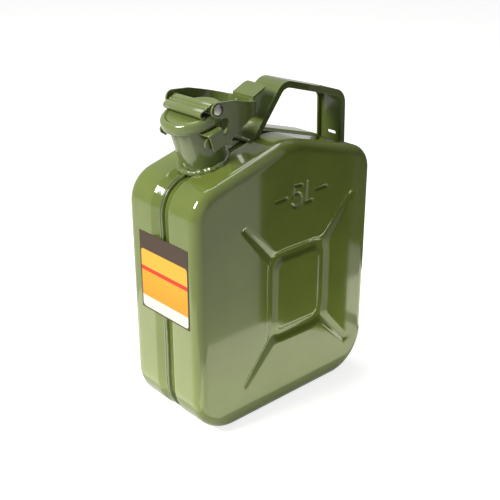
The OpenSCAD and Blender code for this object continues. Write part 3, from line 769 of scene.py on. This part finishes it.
black = srgb(26, 26, 25)
rubber = surfaced(
    "black_gasket_rubber", grain_group, First=black, Second=scaled_colour(black, 2.2),
    Scale=700.0, Detail=3.0, Smoothest=0.5, Roughest=0.75, Relief=0.3,
)[0]
dressed("gasket", rubber, 0.0003)
dressed("cap_plate", zinc, 0.0)
dressed("cap_stud", zinc, 0.0003)

# ---- Bridge ----
# A steel strap across the lid with two pressed ribs: curled up at its front edge and
# rolled round the lever pin at its back.

BRIDGE_HALF = 0.0265
BRIDGE_SHEET = 0.0013
# Outer radius of each roll, its axis behind the axis of the lid, and its arc in degrees
FRONT_ROLL = 0.0036
FRONT_BACK = -0.0065
FRONT_ARC = (-52, -270)
REAR_ROLL = 0.0045
REAR_BACK = 0.0057
REAR_ARC = (90, -215)
ARC_STEP = 12
# The ribs of the plate between them: height, places and spread as shares of its length
RIB_HEIGHT = 0.0011
RIB_PLACES = (0.36, 0.68)
RIB_SPREAD = 0.07
PLATE_PARTS = 30
pin_place = Vector(next(j for j in frame["joints"] if j["name"] == "lever_pivot")["pos_m"])


def arc_points(centre, radius, arc):
    """Points on an arc between two angles in degrees."""
    start, end = arc
    steps = math.ceil(abs(end - start) / ARC_STEP)
    angles = [math.radians(start + (end - start) * k / steps) for k in range(steps + 1)]
    return [centre + radius * Vector((math.cos(a), math.sin(a))) for a in angles]


def strap_sheet(path, half, place):
    """A bent sheet as a surface: its side view as a path, drawn out along Y."""
    bm = bmesh.new()
    verts = [bm.verts.new((p.x, -half, p.y)) for p in path]
    edges = [bm.edges.new(pair) for pair in zip(verts, verts[1:])]
    grown = bmesh.ops.extrude_edge_only(bm, edges=edges)["geom"]
    fresh = [g for g in grown if isinstance(g, bmesh.types.BMVert)]
    bmesh.ops.translate(bm, verts=fresh, vec=(0, 2 * half, 0))
    bmesh.ops.recalc_face_normals(bm, faces=bm.faces)
    bmesh.ops.transform(bm, matrix=place, verts=bm.verts)
    return bm


front_centre = Vector((FRONT_BACK, LID_TOP + FRONT_ROLL))
rear_centre = Vector((REAR_BACK, LID_TOP + REAR_ROLL))
front_mid = FRONT_ROLL - BRIDGE_SHEET / 2
rear_mid = REAR_ROLL - BRIDGE_SHEET / 2
plate_start = front_centre + Vector((0, front_mid))
plate_way = rear_centre + Vector((0, rear_mid)) - plate_start
plate_up = Vector((-plate_way.y, plate_way.x)).normalized()
plate = []
for k in range(1, PLATE_PARTS):
    t = k / PLATE_PARTS
    rib = sum(math.exp(-((t - middle) / RIB_SPREAD) ** 2) for middle in RIB_PLACES)
    plate.append(plate_start + plate_way * t - plate_up * RIB_HEIGHT * rib)
bridge_path = (
    arc_points(front_centre, front_mid, FRONT_ARC) + plate
    + arc_points(rear_centre, rear_mid, REAR_ARC)
)
curled_bridge = strap_sheet(bridge_path, BRIDGE_HALF, neck_frame)
bridge = as_piece(curled_bridge, "curled_bridge", "lid", "bridge", lid_paint)
thicken(bridge, BRIDGE_SHEET, 0.0)
round_edges(bridge, 0.0003, 2, 60)

# ---- Lever pin ----
# A bright steel rivet with domed heads over a washer at each side, through both arms
# of the lever and the roll of the bridge.

PIN = 0.003
HEAD = 0.0052
HEAD_RISE = 0.0029
WASHER = 0.0008
head_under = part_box("lever")[1].y + WASHER + 0.0001
ball = (HEAD ** 2 + HEAD_RISE ** 2) / (2 * HEAD_RISE)
dome = [
    (ball * math.sin(a), head_under + HEAD_RISE - ball * (1 - math.cos(a)))
    for a in (math.asin(HEAD / ball) * k / 10 for k in range(11))
]
half_pin = dome + [(HEAD - 0.0002, head_under), (PIN, head_under)]
pin_profile = half_pin + [(radius, -height) for radius, height in reversed(half_pin)]
pin_frame = Matrix.Translation(pin_place) @ Matrix.Rotation(math.pi / 2, 4, "X")
rivet = turned(pin_profile, 64, pin_frame, closed=False)
as_piece(rivet, "lever_rivet", "lid", "lever_pivot_pin", bright, 35)
dark_steel = plated("dark_washer_steel", srgb(92, 92, 88), 0.35)
for node in ("pin_washer_near", "pin_washer_far"):
    dressed(node, dark_steel, 0.0002)

# ---- Lever ----
# A pressed steel lever bent round behind the neck, two arms and a back, with a thumb
# tab riveted to the back. Hooked tongues under the arms draw the lid down.

lever_paint = enamel(
    "olive_lever_enamel", srgb(100, 114, 58), cloudiness=0.10, peel=0.30, gloss=0.14
)
dressed("lever", lever_paint)
dressed("thumb_tab", lever_paint)
dressed("tab_rivets", lever_paint, 0.0006)

# ---- Handle ----
# A bent channel of 2 mm steel with its flanges turned down, welded at both feet to
# the roof, with a slot in the rear leg.

handle_paint = enamel(
    "olive_handle_enamel", srgb(98, 112, 56), cloudiness=0.10, peel=0.30, gloss=0.16
)
dressed("handle", handle_paint, 0.0008, 3)
dressed("handle_welds", weld_paint, 0.0)

# ---- Label ----
# A printed film stuck over the channel of the seam: a dark frame and head, a yellow field
# with rounded corners that turns orange, a red stripe and a white foot, without words.

label_low, label_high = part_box("label")
FIELD_MARGIN = 0.0016
FIELD_RADIUS = 0.0035
HEAD_HEIGHT = 0.0165
# Colours of the field by height, as shares of the height of the label; orange turns yellow
WHITE, ORANGE, AMBER = srgb(226, 222, 214), srgb(226, 148, 34), srgb(232, 162, 48)
YELLOW, RED = srgb(232, 176, 66), srgb(206, 58, 40)
BANDS = [
    (0.0, WHITE), (0.168, WHITE), (0.170, ORANGE), (0.500, AMBER),
    (0.502, RED), (0.555, RED), (0.557, YELLOW), (1.0, YELLOW),
]


def inside_mask(tree, place, low, high, radius):
    """1 inside a rounded rectangle across Y and Z, 0 outside."""
    def vectors(operation, *terms, output=0):
        return maths(tree, operation, *terms, kind="ShaderNodeVectorMath", output=output)

    half = (high - low) / 2
    folded = vectors("ABSOLUTE", vectors("SUBTRACT", place.outputs["Object"], (low + high) / 2))
    past = vectors("SUBTRACT", folded, (1.0, half.y - radius, half.z - radius))
    away = vectors("LENGTH", vectors("MAXIMUM", past, (0, 0, 0)), output="Value")
    return maths(tree, "LESS_THAN", away, radius)


def printed_film():
    """A dark film with a coloured field: its bands are plain colours by height."""
    material, tree, shader = new_material("printed_label_film")
    shader.inputs["Roughness"].default_value = 0.4
    shader.inputs["Specular IOR Level"].default_value = 0.15
    place = tree.nodes.new("ShaderNodeTexCoord")
    parts = tree.nodes.new("ShaderNodeSeparateXYZ")
    tree.links.new(place.outputs["Object"], parts.inputs[0])
    rise = shader_node(tree, "ShaderNodeMapRange", From_Min=label_low.z, From_Max=label_high.z)
    tree.links.new(parts.outputs["Z"], rise.inputs["Value"])
    ramp = tree.nodes.new("ShaderNodeValToRGB")
    marks = ramp.color_ramp.elements
    marks[0].position, marks[0].color = BANDS[0]
    marks[1].position, marks[1].color = BANDS[-1]
    for position, colour in BANDS[1:-1]:
        marks.new(position).color = colour
    tree.links.new(rise.outputs["Result"], ramp.inputs["Fac"])
    margin = Vector((0, FIELD_MARGIN, FIELD_MARGIN))
    head = Vector((0, 0, HEAD_HEIGHT))
    field = inside_mask(tree, place, label_low + margin, label_high - margin - head, FIELD_RADIUS)
    mix = tree.nodes.new("ShaderNodeMix")
    mix.data_type = "RGBA"
    mix.inputs["A"].default_value = srgb(74, 60, 50)
    tree.links.new(field, mix.inputs["Factor"])
    tree.links.new(ramp.outputs["Color"], mix.inputs["B"])
    tree.links.new(mix.outputs["Result"], shader.inputs["Base Color"])
    grain = placed_group(tree, grain_group, Scale=500.0, Detail=2.0, Relief=0.05)
    tree.links.new(grain.outputs["Normal"], shader.inputs["Normal"])
    return material


dressed("label", printed_film(), 0.0)

# ---- Floor, light and camera ----
# The can stands on a plain pale floor in soft studio light. None of this is part of it.

FLOOR_RADIUS = 3.0
# The gap under the can keeps its base and the floor from showing through each other
FLOOR_GAP = 0.0002
# Levels of white that the camera sees and that gloss mirrors; neither spreads light on the can
FLOOR_SEEN, FLOOR_MIRRORED = 0.80, 0.45
BACKDROP_SEEN, BACKDROP_MIRRORED = 1.0, 0.55
WORLD_LIGHT = 0.13


def seen_level(tree, by_camera, mirrored):
    """A level for what the camera sees and another for what gloss and glass show, else 0."""
    path = tree.nodes.new("ShaderNodeLightPath").outputs
    indirect = maths(tree, "ADD", path["Is Glossy Ray"], path["Is Transmission Ray"])
    indirect = maths(tree, "MULTIPLY", indirect, mirrored)
    return maths(tree, "MULTIPLY_ADD", path["Is Camera Ray"], by_camera, indirect)


def pale_floor():
    """White paper: it takes the shadow, and what the camera and reflections see is near white."""
    material, tree, shader = new_material("pale_floor")
    shader.inputs["Base Color"].default_value = (0.55, 0.55, 0.545, 1)
    shader.inputs["Roughness"].default_value = 0.9
    shader.inputs["Emission Color"].default_value = (1, 1, 1, 1)
    level = seen_level(tree, FLOOR_SEEN, FLOOR_MIRRORED)
    tree.links.new(level, shader.inputs["Emission Strength"])
    return material


def stage_piece(bm, name, material):
    """Turns a bmesh into a thing of the studio, which isn't part of the can."""
    mesh = bpy.data.meshes.new(name)
    bm.to_mesh(mesh)
    bm.free()
    mesh.materials.append(material)
    thing = bpy.data.objects.new(name, mesh)
    bpy.context.scene.collection.objects.link(thing)
    return thing


bm = bmesh.new()
bmesh.ops.create_circle(bm, cap_ends=True, segments=96, radius=FLOOR_RADIUS)
floor = stage_piece(bm, "floor", pale_floor())
floor.location.z = cad_low.z - FLOOR_GAP

world = bpy.data.worlds.new("studio")
bpy.context.scene.world = world
world.use_nodes = True
tree = world.node_tree
soft = tree.nodes["Background"]
soft.inputs["Color"].default_value = (0.97, 0.98, 1.0, 1)
soft.inputs["Strength"].default_value = WORLD_LIGHT
white = shader_node(tree, "ShaderNodeBackground", Color=(1, 1, 1, 1))
level = seen_level(tree, BACKDROP_SEEN, BACKDROP_MIRRORED)
tree.links.new(level, white.inputs["Strength"])
mixed = tree.nodes.new("ShaderNodeMixShader")
tree.links.new(seen_level(tree, 1.0, 1.0), mixed.inputs["Fac"])
tree.links.new(soft.outputs[0], mixed.inputs[1])
tree.links.new(white.outputs[0], mixed.inputs[2])
tree.links.new(mixed.outputs[0], tree.nodes["World Output"].inputs["Surface"])


def softbox(name, place, width, height, power, colour):
    """A rectangular studio lamp that shines down until it is turned."""
    lamp = bpy.data.lights.new(name, "AREA")
    lamp.shape = "RECTANGLE"
    lamp.size, lamp.size_y = width, height
    lamp.energy = power
    lamp.color = colour
    holder = bpy.data.objects.new(name, lamp)
    holder.location = place
    bpy.context.scene.collection.objects.link(holder)
    return holder


middle = (cad_low + cad_high) / 2
WARM_LIGHT, PLAIN_LIGHT, CARD_LIGHT = (1.0, 0.97, 0.92), (1, 1, 1), (1.0, 0.99, 0.72)
# Softboxes round the can, turned to its middle: name, place, width, height, power and colour
for name, place, width, height, power, colour in (
    ("key", (-1.5, 0.35, 1.5), 0.6, 0.6, 46, WARM_LIGHT),
    ("fill", (-0.9, -1.9, 0.7), 1.6, 1.2, 1.4, PLAIN_LIGHT),
    ("top", (0.3, 0.5, 1.9), 1.0, 1.0, 13, PLAIN_LIGHT),
):
    lamp = softbox(name, place, width, height, power, colour)
    lamp.rotation_euler = (middle - Vector(place)).to_track_quat("-Z", "Y").to_euler()
# Low lamps lie beside the can and shine up at its lower part, as light from white card does
for name, place, width, height, power in (
    ("low_right", (0.0, -0.128, 0.004), 0.34, 0.12, 0.19),
    ("low_front", (-0.26, 0.05, 0.004), 0.26, 0.42, 0.40),
    ("low_side", (0.27, 0.02, 0.004), 0.16, 0.44, 0.40),
):
    lamp = softbox(name, place, width, height, power, CARD_LIGHT)
    lamp.rotation_euler = (math.pi, 0, 0)
    lamp.visible_camera = False

# Dark cards beside the can, seen only in its gloss, where they put painted dark reflections: name,
# low corner, width, shade
CARD_HEIGHT = 0.6
for name, corner, width, shade in (
    ("dark_reflection_card", Vector((0.093, -0.194, 0)), Vector((0.056, 0.089, 0)), 0.01),
    ("side_dark_reflection_card", Vector((0.36, -0.30, 0)), Vector((0, 0.55, 0)), 0.10),
):
    up = Vector((0, 0, CARD_HEIGHT))
    corners = (corner, corner + width, corner + width + up, corner + up)
    bm = bmesh.new()
    bm.faces.new([bm.verts.new(place) for place in corners])
    matt, tree, shader = new_material("matt_card")
    shader.inputs["Base Color"].default_value = (shade, shade, shade, 1)
    shader.inputs["Roughness"].default_value = 1.0
    card = stage_piece(bm, name, matt)
    card.visible_camera = False
    card.visible_diffuse = False
    card.visible_shadow = False
    card.visible_transmission = False

CAMERA_AIM = Vector((-0.00568, 0.0, 0.15703))
CAMERA_DISTANCE = 0.9277
CAMERA_AROUND = math.radians(-42.3)
CAMERA_ABOVE = math.radians(23.9)
camera_data = bpy.data.cameras.new("camera")
camera_data.sensor_width = 36.0
camera_data.lens = 65.53
camera = bpy.data.objects.new("camera", camera_data)
back = Vector((
    math.sin(CAMERA_AROUND) * math.cos(CAMERA_ABOVE),
    -math.cos(CAMERA_AROUND) * math.cos(CAMERA_ABOVE),
    math.sin(CAMERA_ABOVE),
))
camera.location = CAMERA_AIM + back * CAMERA_DISTANCE
camera.rotation_mode = "QUATERNION"
camera.rotation_quaternion = (-back).to_track_quat("-Z", "Y")
bpy.context.scene.collection.objects.link(camera)
bpy.context.scene.camera = camera
bpy.context.scene.view_settings.view_transform = "Standard"
